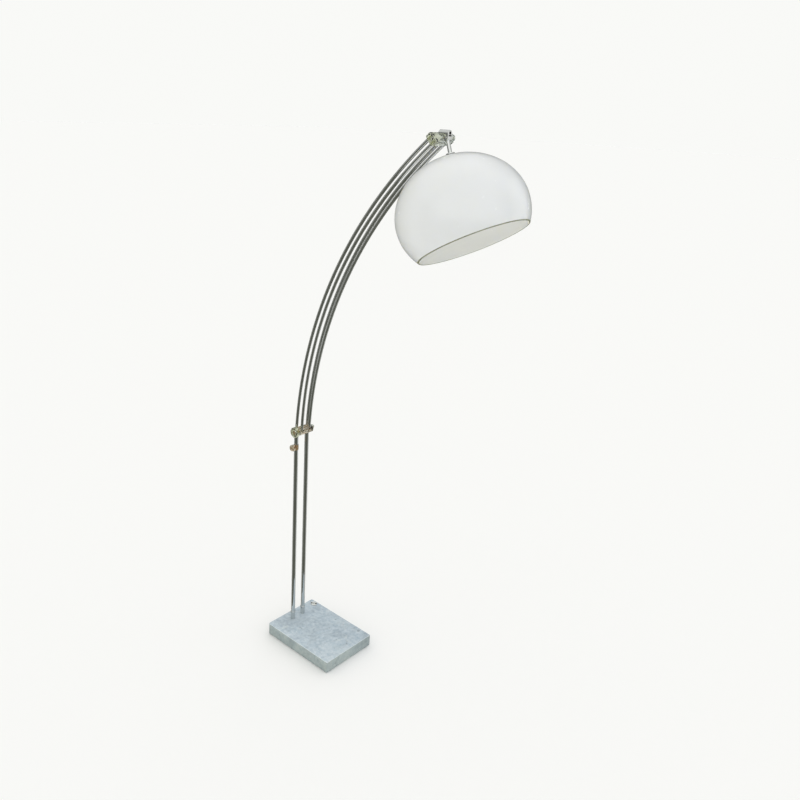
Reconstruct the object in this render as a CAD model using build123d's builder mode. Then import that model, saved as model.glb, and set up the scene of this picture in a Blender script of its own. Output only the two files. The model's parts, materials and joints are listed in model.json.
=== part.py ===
"""Arc floor lamp: marble base, twin mast, four curved chrome rods and a tilting dome shade.

Origin: centre of the base's underside. +X runs along the base towards the shade, +Z is up.
The lamp is symmetric about the XZ plane; "near" pieces have negative Y and "far" ones positive Y.
"""
from build123d import *
from math import atan2, cos, degrees, radians, sin, tan
import os

os.makedirs("parts", exist_ok=True)

# ---- driving dimensions, millimetres and degrees ----
base_length = 344.0
base_width = 250.0
base_top = 50.0                 # height of the slab's top face above the floor
felt_thickness = 2.0
felt_inset = 6.0
felt_corner_radius = 10.0
rear_corner_radius = 10.0       # the two corners beside the mast are rounded
front_corner_radius = 3.0
slab_edge_chamfer = 1.6

mast_x = -128.0
mast_half_spacing = 27.5
tube_radius = 8.0
tube_bore_radius = 6.5
tube_top = 888.0

rod_radius = 5.5
rod_bore_radius = 4.3
clamp_z = 898.0
clamp_rod_spacing = 20.5        # outer to inner rod, centre to centre, at the clamp
arc_radius = 1545.0             # centre line of the outer rods
arc_lean = 3.0                  # the arc's tilt from vertical where it leaves the clamp
arc_end = 49.8                  # the same where it enters the top bar
splay = 0.63                    # each side's plane turns outwards by this much
inner_half_spacing = 19.0       # at the clamp; the inner rods spread as they rise
inner_half_middle = 22.5
inner_half_top = 23.5
inner_inset_middle = 17.0
inner_inset_top = 16.0

clamp_bar_size = (39.0, 70.0, 22.0)
clamp_bar_rise = 4.0            # the bar's middle above clamp_z
top_bar_depth = 22.0            # along the rods
top_bar_height = 36.0           # across the rods
top_bar_width = 90.0            # along Y
rod_depth_clamp = 10.0
rod_depth_top = 16.0

height_travel = 250.0           # how far the arc slides up out of the mast
slider_overlap = 163.0          # length of slider left in the mast at full height

tilt_pivot_x = 458.0
tilt_pivot_z = 2002.0
stem_angle = 19.9               # the stem's lean from vertical, lower end outwards
pivot_to_dome_centre = 224.8
dome_radius = 200.0
dome_half_height = 176.5
dome_wall = 3.0
opening_angle = 29.9            # the opening's slant, measured as the stem's lean is
opening_depth = 90.5            # dome centre to the plane of the opening
bulb_wall = 1.2

fit_gap = 0.05                  # radial, shafts and sockets
press_gap = 0.02                # radial, pieces fixed in one another
clear_gap = 0.3                 # between pieces that pass each other

# ---- shared places worked out from the dimensions ----
arc_centre_x = mast_x + arc_radius * cos(radians(arc_lean))
arc_centre_z = clamp_z - arc_radius * sin(radians(arc_lean))
clamp_x = mast_x + clamp_rod_spacing / 2
clamp_bar_z = clamp_z + clamp_bar_rise
clamp_bottom = clamp_bar_z - clamp_bar_size[2] / 2
slider_bottom = tube_top - height_travel - slider_overlap
sides = {"near": -1, "far": 1}


def save(part, name):
    """Label a finished piece and write it to its own STEP file."""
    part.label = name
    export_step(part, f"parts/{name}.step")


def upright_cylinders(radius, bottom, top, places, bore=0.0):
    """One vertical cylinder or sleeve at each (x, y) place."""
    with BuildPart() as group:
        with BuildSketch(Plane.XY.offset(bottom)):
            with Locations(*places):
                Circle(radius)
                if bore:
                    Circle(bore, mode=Mode.SUBTRACT)
        extrude(amount=top - bottom)
    return group.part


def cross_plane(x, y, z):
    """A plane facing along -Y, local X along +X and local Y along +Z."""
    return Plane(origin=(x, y, z), x_dir=(1, 0, 0), z_dir=(0, -1, 0))


def cross_cylinder(radius, x, y_from, y_to, z, bore=0.0):
    """A cylinder or sleeve along Y between two Y values."""
    with BuildPart() as bar:
        with BuildSketch(cross_plane(x, y_to, z)):
            Circle(radius)
            if bore:
                Circle(bore, mode=Mode.SUBTRACT)
        extrude(amount=y_to - y_from)
    return bar.part


# ---- base ----
mast_places = [(mast_x, side * mast_half_spacing) for side in sides.values()]
nipple_radius = 5.0
nipple_bore = 3.5
counterbore_radius = 17.0
counterbore_roof = 18.0
outlet_x = -140.0
outlet_y = 106.0
lead_hole_radius = 4.0
outlet_spigot_radius = 6.0
outlet_screw_pitch = 18.0
outlet_screw_radius = 1.5
outlet_screw_grip = 12.0        # how far the screws reach into the slab
outlet_turn = 35.0              # the line of the two screws, from the base's length
lead_channel_width = 9.0
lead_channel_depth = 9.0

with BuildPart() as marble_slab:
    with BuildSketch(Plane.XY.offset(felt_thickness)) as outline:
        Rectangle(base_length, base_width)
        fillet(outline.vertices().group_by(Axis.X)[0], rear_corner_radius)
        fillet(outline.vertices().sort_by(Axis.X)[-2:], front_corner_radius)
    extrude(amount=base_top - felt_thickness)
    chamfer(marble_slab.edges().group_by(Axis.Z)[-1], slab_edge_chamfer)
    chamfer(marble_slab.edges().group_by(Axis.Z)[0], slab_edge_chamfer)
    with Locations(*[(x, y, 0) for x, y in mast_places]):
        Cylinder(nipple_radius + clear_gap, 2 * base_top, mode=Mode.SUBTRACT)
    with BuildSketch(Plane.XY.offset(felt_thickness)):
        with Locations(*mast_places):
            Circle(counterbore_radius)
    extrude(amount=counterbore_roof - felt_thickness, mode=Mode.SUBTRACT)
    with Locations((outlet_x, outlet_y, 0)):
        Cylinder(outlet_spigot_radius, 2 * base_top, mode=Mode.SUBTRACT)
    channel_run = Vector(outlet_x - mast_x, outlet_y - mast_half_spacing)
    channel_turn = degrees(atan2(channel_run.Y, channel_run.X))
    with BuildSketch(Plane.XY.offset(felt_thickness)):
        with Locations(((outlet_x + mast_x) / 2, (outlet_y + mast_half_spacing) / 2)):
            SlotCenterToCenter(channel_run.length, lead_channel_width, rotation=channel_turn)
    extrude(amount=lead_channel_depth, mode=Mode.SUBTRACT)
    with Locations(Location((outlet_x, outlet_y, base_top), (0, 0, outlet_turn))):
        with GridLocations(outlet_screw_pitch, 1, 2, 1):
            Cylinder(outlet_screw_radius + press_gap, 2 * outlet_screw_grip, mode=Mode.SUBTRACT)
save(marble_slab.part, "marble_slab")

with BuildPart() as base_felt:
    with BuildSketch():
        RectangleRounded(base_length - 2 * felt_inset, base_width - 2 * felt_inset, felt_corner_radius)
    extrude(amount=felt_thickness - press_gap)
save(base_felt.part, "base_felt")

# Hollow threaded nipples hold the mast down: a nut and washer in each counterbore, a plug in the tube.
washer_thickness = 2.5
nut_height = 6.0
nut_flat = 14.0
nut_bottom = counterbore_roof - washer_thickness - nut_height
mast_washer_radius = 14.0
plug_length = 32.0
nipple_below_nut = 3.0
nipple_in_plug = 30.0
save(upright_cylinders(nipple_radius, nut_bottom - nipple_below_nut, base_top + nipple_in_plug,
                       mast_places, nipple_bore), "mast_nipples")
save(upright_cylinders(mast_washer_radius, nut_bottom + nut_height, counterbore_roof, mast_places,
                       nipple_radius + fit_gap), "mast_washers")

with BuildPart() as mast_nuts:
    with BuildSketch(Plane.XY.offset(nut_bottom)):
        with Locations(*mast_places):
            RegularPolygon(nut_flat / 2, 6, major_radius=False)
            Circle(nipple_radius + press_gap, mode=Mode.SUBTRACT)
    extrude(amount=nut_height)
save(mast_nuts.part, "mast_nuts")

socket_radius = 9.3
socket_height = 36.0
socket_rounding = 1.2
tube_bottom = base_top + 2.0
bush_flange = 1.2
bush_sleeve = 16.0
lock_z = 834.0
lock_screw_radius = 3.0

for name, side in sides.items():
    y = side * mast_half_spacing
    with BuildPart() as mast_socket:
        with BuildSketch(Plane.XY.offset(base_top)):
            with Locations((mast_x, y)):
                Circle(socket_radius)
        extrude(amount=socket_height)
        fillet(mast_socket.edges().group_by(Axis.Z)[-1], socket_rounding)
        with BuildSketch(Plane.XY.offset(tube_bottom)):
            with Locations((mast_x, y)):
                Circle(tube_radius + press_gap)
        extrude(amount=socket_height, mode=Mode.SUBTRACT)
        with Locations((mast_x, y, base_top)):
            Cylinder(nipple_radius + clear_gap, socket_height, mode=Mode.SUBTRACT)
    save(mast_socket.part, f"{name}_mast_socket")

    with BuildPart() as mast_tube:
        with BuildSketch(Plane.XY.offset(tube_bottom)):
            with Locations((mast_x, y)):
                Circle(tube_radius)
                Circle(tube_bore_radius, mode=Mode.SUBTRACT)
        extrude(amount=tube_top - tube_bottom)
        if name == "near":
            with BuildSketch(cross_plane(mast_x, y, lock_z)):
                Circle(lock_screw_radius + clear_gap)
            extrude(amount=2 * tube_radius, mode=Mode.SUBTRACT)
    save(mast_tube.part, f"{name}_mast_tube")

    save(upright_cylinders(tube_bore_radius - press_gap, tube_bottom, tube_bottom + plug_length,
                           [(mast_x, y)], nipple_radius + press_gap), f"{name}_tube_plug")

    with BuildPart() as tube_bush:
        with BuildSketch(Plane.XY.offset(tube_top - bush_sleeve)):
            with Locations((mast_x, y)):
                Circle(tube_bore_radius - press_gap)
        extrude(amount=bush_sleeve)
        with BuildSketch(Plane.XY.offset(tube_top)):
            with Locations((mast_x, y)):
                Circle(tube_radius)
        extrude(amount=bush_flange)
        with Locations((mast_x, y, tube_top)):
            Cylinder(rod_radius + fit_gap, 4 * bush_sleeve, mode=Mode.SUBTRACT)
    save(tube_bush.part, f"{name}_tube_bush")

# ---- lead outlet on the slab's far rear corner ----
outlet_radius = 13.0
outlet_height = 3.0
outlet_rounding = 1.0
outlet_spigot = 14.0
outlet_screw_head = 3.8         # radius
outlet_head_height = 2.3
outlet_head_sink = 0.2

with BuildPart() as lead_outlet:
    with BuildSketch(Plane.XY.offset(base_top)):
        with Locations((outlet_x, outlet_y)):
            Circle(outlet_radius)
    extrude(amount=outlet_height)
    fillet(lead_outlet.edges().group_by(Axis.Z)[-1], outlet_rounding)
    with BuildSketch(Plane.XY.offset(base_top - outlet_spigot)):
        with Locations((outlet_x, outlet_y)):
            Circle(outlet_spigot_radius - fit_gap)
    extrude(amount=outlet_spigot)
    with Locations((outlet_x, outlet_y, base_top)):
        Cylinder(lead_hole_radius, 4 * outlet_spigot, mode=Mode.SUBTRACT)
    with Locations(Location((outlet_x, outlet_y, base_top + outlet_height), (0, 0, outlet_turn))):
        with GridLocations(outlet_screw_pitch, 1, 2, 1):
            CounterSinkHole(outlet_screw_radius + fit_gap, outlet_screw_head + clear_gap, depth=outlet_height)
save(lead_outlet.part, "lead_outlet")

with BuildPart() as outlet_screws:
    screw_top = base_top + outlet_height - outlet_head_sink
    with Locations(Location((outlet_x, outlet_y, screw_top), (0, 0, outlet_turn))):
        with GridLocations(outlet_screw_pitch, 1, 2, 1):
            Cone(outlet_screw_radius, outlet_screw_head, outlet_head_height,
                 align=(Align.CENTER, Align.CENTER, Align.MAX))
            Cylinder(outlet_screw_radius, outlet_screw_grip, align=(Align.CENTER, Align.CENTER, Align.MAX))
save(outlet_screws.part, "outlet_screws")

# ---- height lock on the near mast tube ----
lock_y = -mast_half_spacing
collar_radius = 9.8
collar_height = 22.0
lock_boss_radius = 7.0
lock_boss_reach = 11.5
lock_boss_face = lock_y - lock_boss_reach
lock_knob_radius = 12.6
lock_knob_thickness = 12.0
lock_insert_radius = 5.0
lock_dish_radius = 8.0
collar_rounding = 1.0
knob_rounding = 0.22            # of a knob's thickness
knob_dish = 1.5
insert_recess = 2.0             # insert's end below a knob's outer face
screw_recess = 3.0              # screw's end below a knob's outer face

with BuildPart() as lock_collar:
    with BuildSketch(Plane.XY.offset(lock_z - collar_height / 2)):
        with Locations((mast_x, lock_y)):
            Circle(collar_radius)
    extrude(amount=collar_height)
    collar_ends = lock_collar.edges().group_by(Axis.Z)
    fillet(collar_ends[0] + collar_ends[-1], collar_rounding)
    with BuildSketch(cross_plane(mast_x, lock_y, lock_z)):
        Circle(lock_boss_radius)
    extrude(amount=lock_boss_reach)
    with Locations((mast_x, lock_y, lock_z)):
        Cylinder(tube_radius + press_gap, 2 * collar_height, mode=Mode.SUBTRACT)
    with BuildSketch(cross_plane(mast_x, lock_y, lock_z)):
        Circle(lock_screw_radius + fit_gap)
    extrude(amount=2 * collar_height, mode=Mode.SUBTRACT)
save(lock_collar.part, "lock_collar")


def disc_knob(radius, thickness, x, y_face, z, outward, insert, dish_radius):
    """A round knob turning about Y; its flat side is at y_face and its dished side faces outward."""
    y_out = y_face + outward * thickness
    with BuildPart() as knob:
        with BuildSketch(cross_plane(x, max(y_face, y_out), z)):
            Circle(radius)
        extrude(amount=thickness)
        fillet(knob.edges().filter_by(GeomType.CIRCLE), knob_rounding * thickness)
        with BuildSketch(cross_plane(x, max(y_face, y_out), z)):
            Circle(insert + press_gap)
        extrude(amount=thickness, mode=Mode.SUBTRACT)
        with BuildSketch(cross_plane(x, max(y_out, y_out - outward * knob_dish), z)):
            Circle(dish_radius)
        extrude(amount=knob_dish, mode=Mode.SUBTRACT)
    return knob.part


lock_knob_face = lock_boss_face - clear_gap
lock_knob_outer = lock_knob_face - lock_knob_thickness
save(disc_knob(lock_knob_radius, lock_knob_thickness, mast_x, lock_knob_face, lock_z, -1,
               lock_insert_radius, lock_dish_radius), "lock_knob")
save(cross_cylinder(lock_insert_radius, mast_x, lock_knob_outer + insert_recess, lock_knob_face, lock_z,
                    lock_screw_radius + press_gap), "lock_knob_insert")
save(cross_cylinder(lock_screw_radius, mast_x, lock_knob_outer + screw_recess,
                    lock_y - rod_radius - clear_gap, lock_z), "lock_screw")

# ---- telescopic slider rods ----
shoe_length = 14.0
shoe_bore_radius = 3.0
shoe_plug = 10.0                # the part of the shoe inside the slider rod
slider_top = clamp_bottom + rod_depth_clamp - press_gap
for name, side in sides.items():
    y = side * mast_half_spacing
    save(upright_cylinders(rod_radius, slider_bottom, slider_top, [(mast_x, y)], rod_bore_radius),
         f"{name}_slider_rod")
    with BuildPart() as slider_shoe:
        with BuildSketch(Plane.XY.offset(slider_bottom - shoe_length)):
            with Locations((mast_x, y)):
                Circle(tube_bore_radius - fit_gap)
        extrude(amount=shoe_length - press_gap)
        with BuildSketch(Plane.XY.offset(slider_bottom - shoe_length)):
            with Locations((mast_x, y)):
                Circle(rod_bore_radius - press_gap)
        extrude(amount=shoe_length + shoe_plug)
        with Locations((mast_x, y, slider_bottom)):
            Cylinder(shoe_bore_radius, 4 * shoe_length, mode=Mode.SUBTRACT)
    save(slider_shoe.part, f"{name}_slider_shoe")


# ---- curved rods ----
def arc_point(side, half_spacing, lean, inset):
    """A point of the arc where it leans this far from vertical, inset towards the arc's centre."""
    reach = arc_radius - inset
    outwards = arc_radius * cos(radians(arc_lean)) - reach * cos(radians(lean))
    return (mast_x + outwards * cos(radians(splay)), side * (half_spacing + outwards * sin(radians(splay))),
            arc_centre_z + reach * sin(radians(lean)))


def per_length(distance):
    """The change of lean along this much of the arc, in degrees."""
    return degrees(distance / arc_radius)


rod_start = arc_lean + per_length(clamp_bar_rise + clamp_bar_size[2] / 2 - rod_depth_clamp)
rod_finish = arc_end + per_length(rod_depth_top)
rod_middle = (rod_start + rod_finish) / 2


def rod_path(pair, side):
    """Centre line of a curved rod of the outer or the inner pair."""
    if pair == "outer":
        spacings = (mast_half_spacing, mast_half_spacing, mast_half_spacing)
        insets = (0, 0, 0)
    else:
        spacings = (inner_half_spacing, inner_half_middle, inner_half_top)
        insets = (clamp_rod_spacing, inner_inset_middle, inner_inset_top)
    leans = (rod_start, rod_middle, rod_finish)
    with BuildLine() as path:
        ThreePointArc(*[arc_point(side, *place) for place in zip(spacings, leans, insets)])
    return path.edge()


def swept_rod(path, radius, bore=0.0):
    """A round rod or tube along a path."""
    with BuildPart() as rod:
        with BuildSketch(Plane(origin=path @ 0, z_dir=path % 0)):
            Circle(radius)
            if bore:
                Circle(bore, mode=Mode.SUBTRACT)
        sweep(path=path)
    return rod.part


rod_sockets = []
for pair in ("outer", "inner"):
    for name, side in sides.items():
        path = rod_path(pair, side)
        save(swept_rod(path, rod_radius, rod_bore_radius), f"{pair}_{name}_rod")
        rod_sockets.append(swept_rod(path, rod_radius + press_gap))

# ---- clamp bar where the sliders meet the curved rods ----
bolt_radius = 3.0
clamp_half_width = clamp_bar_size[1] / 2
grub_radius = 2.5
grub_recess = 0.4
grub_end_gap = 0.1
grub_hex_radius = 1.3
front_grub_slack = 1.6          # the inner rods lean back towards their screws
clamp_bar_rounding = 6.0
bar_end_rounding = 2.5
lead_way_radius = 3.0           # joins the far slider's bore to the far outer rod's
grub_height = 6.0               # grub screws above and below the bar's middle
grub_wall = clamp_bar_size[0] / 2 - clamp_rod_spacing / 2 - rod_radius

with BuildPart() as clamp_bar:
    with BuildSketch(cross_plane(clamp_x, clamp_half_width, clamp_bar_z)):
        RectangleRounded(clamp_bar_size[0], clamp_bar_size[2], clamp_bar_rounding)
    extrude(amount=clamp_bar_size[1])
    clamp_ends = clamp_bar.edges().group_by(Axis.Y)
    fillet(clamp_ends[0] + clamp_ends[-1], bar_end_rounding)
    for socket in rod_sockets:
        add(socket, mode=Mode.SUBTRACT)
    with BuildSketch(Plane.XY.offset(clamp_bottom)):
        with Locations(*mast_places):
            Circle(rod_radius + press_gap)
    extrude(amount=rod_depth_clamp, mode=Mode.SUBTRACT)
    with Locations((mast_x, mast_half_spacing, clamp_bar_z)):
        Cylinder(lead_way_radius, rod_depth_clamp, mode=Mode.SUBTRACT)
    with BuildSketch(cross_plane(clamp_x, clamp_half_width, clamp_bar_z)):
        Circle(bolt_radius + press_gap)
    extrude(amount=clamp_bar_size[1], mode=Mode.SUBTRACT)
    rear_screw_places = [(y, z) for y in (-mast_half_spacing, mast_half_spacing)
                         for z in (-grub_height, grub_height)]
    rear_face = Plane(origin=(clamp_x - clamp_bar_size[0] / 2, 0, clamp_bar_z), x_dir=(0, 1, 0), z_dir=(1, 0, 0))
    with BuildSketch(rear_face):
        with Locations(*rear_screw_places):
            Circle(grub_radius + press_gap)
    extrude(amount=grub_wall, mode=Mode.SUBTRACT)
    front_face = Plane(origin=(clamp_x + clamp_bar_size[0] / 2, 0, clamp_bar_z), x_dir=(0, 1, 0), z_dir=(1, 0, 0))
    front_screw_places = [(y, grub_height) for y in (-inner_half_spacing, inner_half_spacing)]
    with BuildSketch(front_face):
        with Locations(*front_screw_places):
            Circle(grub_radius + press_gap)
    extrude(amount=-grub_wall, mode=Mode.SUBTRACT)
save(clamp_bar.part, "clamp_bar")

with BuildPart() as clamp_grub_screws:
    with BuildSketch(rear_face.offset(grub_recess)):
        with Locations(*rear_screw_places):
            Circle(grub_radius)
            RegularPolygon(grub_hex_radius, 6, mode=Mode.SUBTRACT)
    extrude(amount=grub_wall - grub_recess - grub_end_gap)
    with BuildSketch(front_face.offset(-grub_recess)):
        with Locations(*front_screw_places):
            Circle(grub_radius)
            RegularPolygon(grub_hex_radius, 6, mode=Mode.SUBTRACT)
    extrude(amount=front_grub_slack - grub_wall)
save(clamp_grub_screws.part, "clamp_grub_screws")

washer_radius = 8.0
clamp_washer = 1.5
clamp_knob_radius = 20.0
clamp_knob_thickness = 14.0
clamp_insert_radius = 8.0
clamp_dish_radius = 12.0
ball_radius = 10.0
ball_y = 42.5
bolt_past_ball_centre = 4.0
clamp_knob_face = -clamp_half_width - clamp_washer - clear_gap
clamp_knob_outer = clamp_knob_face - clamp_knob_thickness

with BuildPart() as clamp_washers:
    add(cross_cylinder(washer_radius, clamp_x, -clamp_half_width - clamp_washer, -clamp_half_width,
                       clamp_bar_z, bolt_radius + press_gap))
    add(cross_cylinder(washer_radius, clamp_x, clamp_half_width, clamp_half_width + clamp_washer,
                       clamp_bar_z, bolt_radius + press_gap))
save(clamp_washers.part, "clamp_washers")

save(disc_knob(clamp_knob_radius, clamp_knob_thickness, clamp_x, clamp_knob_face, clamp_bar_z, -1,
               clamp_insert_radius, clamp_dish_radius), "clamp_knob")
save(cross_cylinder(clamp_insert_radius, clamp_x, clamp_knob_outer + insert_recess, clamp_knob_face,
                    clamp_bar_z, bolt_radius + fit_gap), "clamp_knob_insert")
bolt_far = ball_y + bolt_past_ball_centre
save(cross_cylinder(bolt_radius, clamp_x, clamp_knob_outer + screw_recess, bolt_far, clamp_bar_z),
     "clamp_bolt")

with BuildPart() as clamp_end_ball:
    with Locations((clamp_x, ball_y, clamp_bar_z)):
        Sphere(ball_radius)
    split(bisect_by=Plane.XZ.offset(-clamp_half_width - clamp_washer), keep=Keep.BOTTOM)
    with BuildSketch(cross_plane(clamp_x, bolt_far + press_gap, clamp_bar_z)):
        Circle(bolt_radius + press_gap)
    extrude(amount=2 * ball_radius, mode=Mode.SUBTRACT)
save(clamp_end_ball.part, "clamp_end_ball")

# ---- top bar that joins the ends of the four rods ----
bar_lean = arc_end + per_length(top_bar_depth / 2)
bar_reach = arc_radius - inner_inset_top / 2
bar_x = arc_centre_x - bar_reach * cos(radians(bar_lean))
bar_z = arc_centre_z + bar_reach * sin(radians(bar_lean))
# Local X runs on along the rods, local Y away from the arc's centre; the normal is -Y.
top_plane = Plane(origin=(bar_x, 0, bar_z), x_dir=(sin(radians(bar_lean)), 0, cos(radians(bar_lean))),
                  z_dir=(0, -1, 0))
top_grub_wall = top_bar_height / 2 - inner_inset_top / 2 - rod_radius
top_bar_rounding = 5.0
knuckle_screw_radius = 2.5
barrel_radius = 10.0
barrel_above_pivot = 13.0
barrel_past_pivot = 9.0
screw_above_barrel = 1.5
barrel_z = tilt_pivot_z + barrel_above_pivot
barrel_end = tilt_pivot_x + barrel_past_pivot
knuckle_screw_z = barrel_z + screw_above_barrel

with BuildPart() as top_bar:
    with BuildSketch(top_plane.offset(-top_bar_width / 2)):
        RectangleRounded(top_bar_depth, top_bar_height, top_bar_rounding)
    extrude(amount=top_bar_width)
    top_ends = top_bar.edges().group_by(Axis.Y)
    fillet(top_ends[0] + top_ends[-1], bar_end_rounding)
    for socket in rod_sockets:
        add(socket, mode=Mode.SUBTRACT)
    outer_face = Plane(origin=top_plane.from_local_coords((0, top_bar_height / 2, 0)), x_dir=(0, 1, 0),
                       z_dir=-top_plane.y_dir)
    inner_face = Plane(origin=top_plane.from_local_coords((0, -top_bar_height / 2, 0)), x_dir=(0, 1, 0),
                       z_dir=top_plane.y_dir)
    splay_out = tan(radians(splay)) * (bar_x - mast_x)
    outer_grub_places = [(side * (mast_half_spacing + splay_out), 0) for side in sides.values()]
    inner_grub_places = [(side * (inner_half_top + splay_out), 0) for side in sides.values()]
    for face, places in ((outer_face, outer_grub_places), (inner_face, inner_grub_places)):
        with BuildSketch(face):
            with Locations(*places):
                Circle(grub_radius + press_gap)
        extrude(amount=top_grub_wall, mode=Mode.SUBTRACT)
    with BuildSketch(Plane(origin=(bar_x, 0, knuckle_screw_z), z_dir=(1, 0, 0))):
        Circle(knuckle_screw_radius + press_gap)
    extrude(amount=2 * top_bar_depth, mode=Mode.SUBTRACT)
save(top_bar.part, "top_bar")

with BuildPart() as top_grub_screws:
    for face, places in ((outer_face, outer_grub_places), (inner_face, inner_grub_places)):
        with BuildSketch(face.offset(grub_recess)):
            with Locations(*places):
                Circle(grub_radius)
                RegularPolygon(grub_hex_radius, 6, mode=Mode.SUBTRACT)
        extrude(amount=top_grub_wall - grub_recess - grub_end_gap)
save(top_grub_screws.part, "top_grub_screws")

# ---- knuckle: a short barrel on the top bar with two ears for the shade's stem ----
ear_radius = 9.0
slot_half_width = 6.9
ear_thickness = 4.0
eye_radius = 8.5
slot_headroom = 0.7
slot_roof = tilt_pivot_z + eye_radius + slot_headroom
tilt_screw_radius = 3.0
barrel_rounding = 1.5
knuckle_head_radius = 4.5
knuckle_head_hex = 2.3
knuckle_head_length = 4.0
knuckle_recess_radius = 4.7
knuckle_recess_depth = 6.0
knuckle_screw_end = 2.0         # tip short of the middle of the top bar
bar_front = Plane(origin=top_plane.from_local_coords((top_bar_depth / 2, 0, 0)), x_dir=(0, 1, 0),
                  z_dir=top_plane.x_dir)

with BuildPart() as knuckle:
    with BuildSketch(Plane(origin=(bar_x, 0, barrel_z), z_dir=(1, 0, 0))):
        Circle(barrel_radius)
    extrude(amount=barrel_end - bar_x)
    split(bisect_by=bar_front, keep=Keep.TOP)
    fillet(knuckle.edges().filter_by(GeomType.CIRCLE).sort_by(Axis.X)[-1], barrel_rounding)
    with BuildSketch(cross_plane(tilt_pivot_x, slot_half_width + ear_thickness, tilt_pivot_z)):
        Circle(ear_radius)
        with Locations((0, (barrel_z - tilt_pivot_z) / 2)):
            Rectangle(2 * ear_radius, barrel_z - tilt_pivot_z)
    extrude(amount=2 * (slot_half_width + ear_thickness))
    with BuildSketch(Plane.XY.offset(tilt_pivot_z - 2 * ear_radius)):
        with Locations((tilt_pivot_x, 0)):
            Rectangle(4 * ear_radius, 2 * slot_half_width)
    extrude(amount=slot_roof - tilt_pivot_z + 2 * ear_radius, mode=Mode.SUBTRACT)
    with BuildSketch(cross_plane(tilt_pivot_x, 2 * ear_radius, tilt_pivot_z)):
        Circle(tilt_screw_radius + press_gap)
    extrude(amount=4 * ear_radius, mode=Mode.SUBTRACT)
    with BuildSketch(Plane(origin=(bar_x, 0, knuckle_screw_z), z_dir=(1, 0, 0))):
        Circle(knuckle_screw_radius + press_gap)
    extrude(amount=2 * top_bar_depth, mode=Mode.SUBTRACT)
    with BuildSketch(Plane(origin=(barrel_end, 0, knuckle_screw_z), z_dir=(1, 0, 0))):
        Circle(knuckle_recess_radius)
    extrude(amount=-knuckle_recess_depth, mode=Mode.SUBTRACT)
save(knuckle.part, "knuckle")

screw_seat = barrel_end - knuckle_recess_depth
with BuildPart() as knuckle_screw:
    with BuildSketch(Plane(origin=(screw_seat, 0, knuckle_screw_z), z_dir=(1, 0, 0))):
        Circle(knuckle_head_radius)
        RegularPolygon(knuckle_head_hex, 6, mode=Mode.SUBTRACT)
    extrude(amount=knuckle_head_length)
    with BuildSketch(Plane(origin=(screw_seat, 0, knuckle_screw_z), z_dir=(-1, 0, 0))):
        Circle(knuckle_screw_radius)
    extrude(amount=screw_seat - bar_x - knuckle_screw_end)
save(knuckle_screw.part, "knuckle_screw")

# ---- tilt screw with its spacer and knob on the far side ----
ear_face = slot_half_width + ear_thickness
spacer_length = 3.0
spacer_radius = 6.0
tilt_head_radius = 5.5
tilt_head = 3.0
tilt_head_rounding = 1.2
tilt_knob_face = ear_face + spacer_length + clear_gap
tilt_knob_radius = 11.0
tilt_knob_thickness = 11.0
tilt_insert_radius = 4.6
tilt_dish_radius = 6.5
tilt_knob_outer = tilt_knob_face + tilt_knob_thickness

with BuildPart() as tilt_screw:
    add(cross_cylinder(tilt_screw_radius, tilt_pivot_x, -ear_face, tilt_knob_outer - screw_recess,
                       tilt_pivot_z))
    with BuildSketch(cross_plane(tilt_pivot_x, -ear_face, tilt_pivot_z)):
        Circle(tilt_head_radius)
    extrude(amount=tilt_head)
    fillet(tilt_screw.edges().group_by(Axis.Y)[0], tilt_head_rounding)
save(tilt_screw.part, "tilt_screw")
save(cross_cylinder(spacer_radius, tilt_pivot_x, ear_face, ear_face + spacer_length, tilt_pivot_z,
                    tilt_screw_radius + press_gap), "tilt_spacer")
save(disc_knob(tilt_knob_radius, tilt_knob_thickness, tilt_pivot_x, tilt_knob_face, tilt_pivot_z, 1,
               tilt_insert_radius, tilt_dish_radius), "tilt_knob")
save(cross_cylinder(tilt_insert_radius, tilt_pivot_x, tilt_knob_face, tilt_knob_outer - insert_recess,
                    tilt_pivot_z, tilt_screw_radius + fit_gap), "tilt_knob_insert")

# ---- stem, shade and lampholder, stacked along the stem's axis ----
down = Vector(sin(radians(stem_angle)), 0, -cos(radians(stem_angle)))
pivot = Vector(tilt_pivot_x, 0, tilt_pivot_z)


def stem_plane(distance):
    """A plane across the stem, this far below the tilt pivot, facing down along the stem."""
    return Plane(origin=pivot + down * distance, x_dir=(0, 1, 0), z_dir=down)


def stem_sleeve(start, length, radius, bore=0.0, sides_count=0):
    """A round, or many-sided, piece centred on the stem's axis."""
    with BuildPart() as piece:
        with BuildSketch(stem_plane(start)):
            if sides_count:
                RegularPolygon(radius, sides_count, major_radius=False)
            else:
                Circle(radius)
            if bore:
                Circle(bore, mode=Mode.SUBTRACT)
        extrude(amount=length)
    return piece.part


stem_radius = 6.0
stem_bore = 3.2
stem_flange = 13.0
flange_thickness = 3.0
thread_radius = 5.0
eye_half_width = 6.6
dome_top = pivot_to_dome_centre - dome_half_height
gasket_thickness = 1.5
flange_start = dome_top - gasket_thickness - flange_thickness
curved_seat_gap = 0.6           # the dome's inside curves away under the flat washer
inner_washer_start = dome_top + dome_wall + curved_seat_gap
inner_washer_radius = 15.0
inner_washer = 2.0
stem_nut_flat = 16.0
stem_nut = 4.0
holder_gap = 1.0
thread_in_holder = 10.0
holder_start = inner_washer_start + inner_washer + stem_nut + holder_gap
thread_end = holder_start + thread_in_holder
flange_chamfer = 0.6
stem_side_hole = 2.5            # lets the lead into the stem, on its rear side
side_hole_distance = 18.0

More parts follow.
